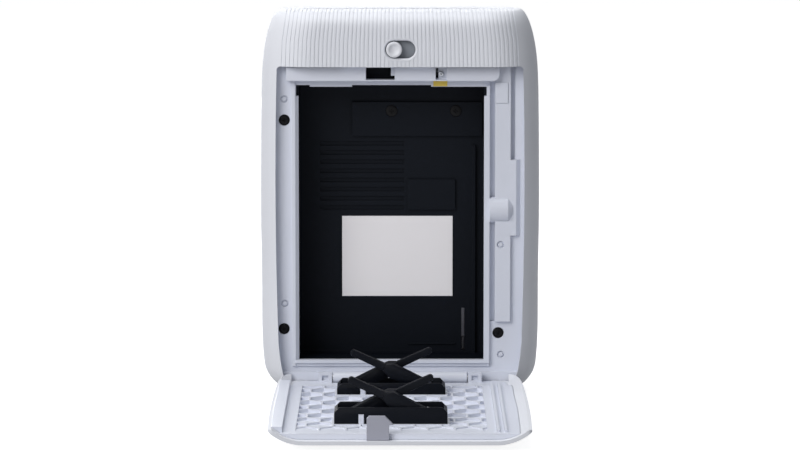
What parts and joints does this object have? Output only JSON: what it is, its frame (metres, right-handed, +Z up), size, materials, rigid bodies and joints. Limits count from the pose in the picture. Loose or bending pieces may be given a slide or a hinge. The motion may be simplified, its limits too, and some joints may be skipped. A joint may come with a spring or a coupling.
{
  "type": "instant film printer",
  "caption": "Pocket instant film printer with a ribbed rounded body and an empty film bay, its honeycomb film door hinged down on sprung press levers.",
  "frame": {"origin": "middle of the flat base under the body", "axes": "+Z up along the standing body, -Y towards the opened film door, +X to the right of someone facing the film bay"},
  "size_m": [0.0904, 0.1315, 0.1239],
  "materials": {
    "shell_white": "fine satin moulding",
    "frame_white": "satin moulding",
    "bay_black": "fine matt texture",
    "label_paper": "plain matt paper",
    "mark_yellow": "printed film",
    "screw_black": "black oxide",
    "steel": "plain",
    "hook_grey": "satin moulding",
    "knob_white": "polished moulding",
    "roller_rubber": "ground",
    "gear_plastic": "natural acetal",
    "bush_brass": "sintered",
    "board_green": "solder mask",
    "chip_black": "moulded",
    "cell_foil": "foil pouch",
    "ring_clear": "frosted",
    "lens_glass": "clear",
    "seal_felt": "felt"
  },
  "bodies": {
    "housing": {"rear_shell": "shell_white", "front_shell": "shell_white", "film_frame": "frame_white", "film_chamber": "bay_black", "head_cover": "bay_black", "head_cover_screws": "screw_black", "bay_label": "label_paper", "pack_mark": "mark_yellow", "frame_screws": "screw_black", "ledge_screw": "screw_black", "hinge_pins": "steel", "exposure_head": "bay_black", "lens_strip": "lens_glass", "left_bracket": "steel", "gear_plate": "steel", "roller_bushes": "bush_brass", "gear_pin": "steel", "motor": "steel", "main_board": "board_green", "board_chips": "chip_black", "usb_socket": "steel", "battery": "cell_foil", "light_ring": "ring_clear", "button_board": "board_green", "button_switch": "chip_black", "latch_spring": "steel", "exit_seal": "seal_felt"},
    "door": {"door_cover": "shell_white", "door_panel": "frame_white", "door_hook": "hook_grey", "upper_press_tray": "bay_black", "lower_press_tray": "bay_black", "lever_pins": "steel", "lever_springs": "steel"},
    "upper_left_lever": {"upper_left_lever": "bay_black"},
    "upper_right_lever": {"upper_right_lever": "bay_black"},
    "lower_left_lever": {"lower_left_lever": "bay_black"},
    "lower_right_lever": {"lower_right_lever": "bay_black"},
    "latch": {"latch_slider": "hook_grey", "latch_catch": "frame_white", "latch_knob": "knob_white"},
    "power_button": {"power_button": "knob_white"},
    "drive_roller": {"drive_roller_shaft": "steel", "drive_roller_sleeve": "roller_rubber", "roller_gear": "gear_plastic"},
    "pinch_roller": {"pinch_roller_shaft": "steel", "pinch_roller_sleeve": "roller_rubber"},
    "idler": {"idler_gear": "gear_plastic"},
    "pinion": {"motor_pinion": "gear_plastic"},
    "claw": {"film_claw": "steel"}
  },
  "joints": [
    {"name": "door_hinge", "type": "hinge", "parent": "housing", "child": "door", "pos_m": [0, -0.0136, 0.0054], "axis": [-1, 0, 0], "range_deg": [0, 90]},
    {"name": "upper_left_lever_press", "type": "hinge", "parent": "door", "child": "upper_left_lever", "pos_m": [-0.01397, -0.0893, 0.0068], "axis": [0, 1, 0], "range_deg": [0, 14], "stiffness_Nm_per_rad": 0.03, "springref_deg": -22.92},
    {"name": "upper_right_lever_press", "type": "hinge", "parent": "door", "child": "upper_right_lever", "pos_m": [0.00843, -0.0893, 0.0068], "axis": [0, -1, 0], "range_deg": [0, 14], "stiffness_Nm_per_rad": 0.03, "springref_deg": -22.92},
    {"name": "lower_left_lever_press", "type": "hinge", "parent": "door", "child": "lower_left_lever", "pos_m": [-0.01397, -0.0363, 0.0068], "axis": [0, 1, 0], "range_deg": [0, 14], "stiffness_Nm_per_rad": 0.03, "springref_deg": -22.92},
    {"name": "lower_right_lever_press", "type": "hinge", "parent": "door", "child": "lower_right_lever", "pos_m": [0.00843, -0.0363, 0.0068], "axis": [0, -1, 0], "range_deg": [0, 14], "stiffness_Nm_per_rad": 0.03, "springref_deg": -22.92},
    {"name": "latch_slide", "type": "slide", "parent": "housing", "child": "latch", "axis": [1, 0, 0], "range_m": [0, 0.004], "stiffness_N_per_m": 300, "springref_m": -0.002},
    {"name": "power_press", "type": "slide", "parent": "housing", "child": "power_button", "axis": [0, -1, 0], "range_m": [0, 0.0007], "stiffness_N_per_m": 1000, "springref_m": -0.0005},
    {"name": "drive_roller_spin", "type": "hinge", "parent": "housing", "child": "drive_roller", "pos_m": [0, -0.0012, 0.1105], "axis": [1, 0, 0], "continuous": true},
    {"name": "pinch_roller_spin", "type": "hinge", "parent": "housing", "child": "pinch_roller", "pos_m": [0, 0.006, 0.1105], "axis": [1, 0, 0], "continuous": true},
    {"name": "idler_spin", "type": "hinge", "parent": "housing", "child": "idler", "pos_m": [0.032, 0.00332, 0.10266], "axis": [1, 0, 0], "continuous": true},
    {"name": "pinion_spin", "type": "hinge", "parent": "housing", "child": "pinion", "pos_m": [0.031, 0.01072, 0.09646], "axis": [1, 0, 0], "continuous": true},
    {"name": "claw_slide", "type": "slide", "parent": "housing", "child": "claw", "axis": [0, 0, 1], "range_m": [0, 0.006]}
  ],
  "couplings": [
    {"joint": "pinch_roller_spin", "follows": "drive_roller_spin", "ratio": -1},
    {"joint": "idler_spin", "follows": "drive_roller_spin", "ratio": -2},
    {"joint": "pinion_spin", "follows": "drive_roller_spin", "ratio": 4.4}
  ]
}
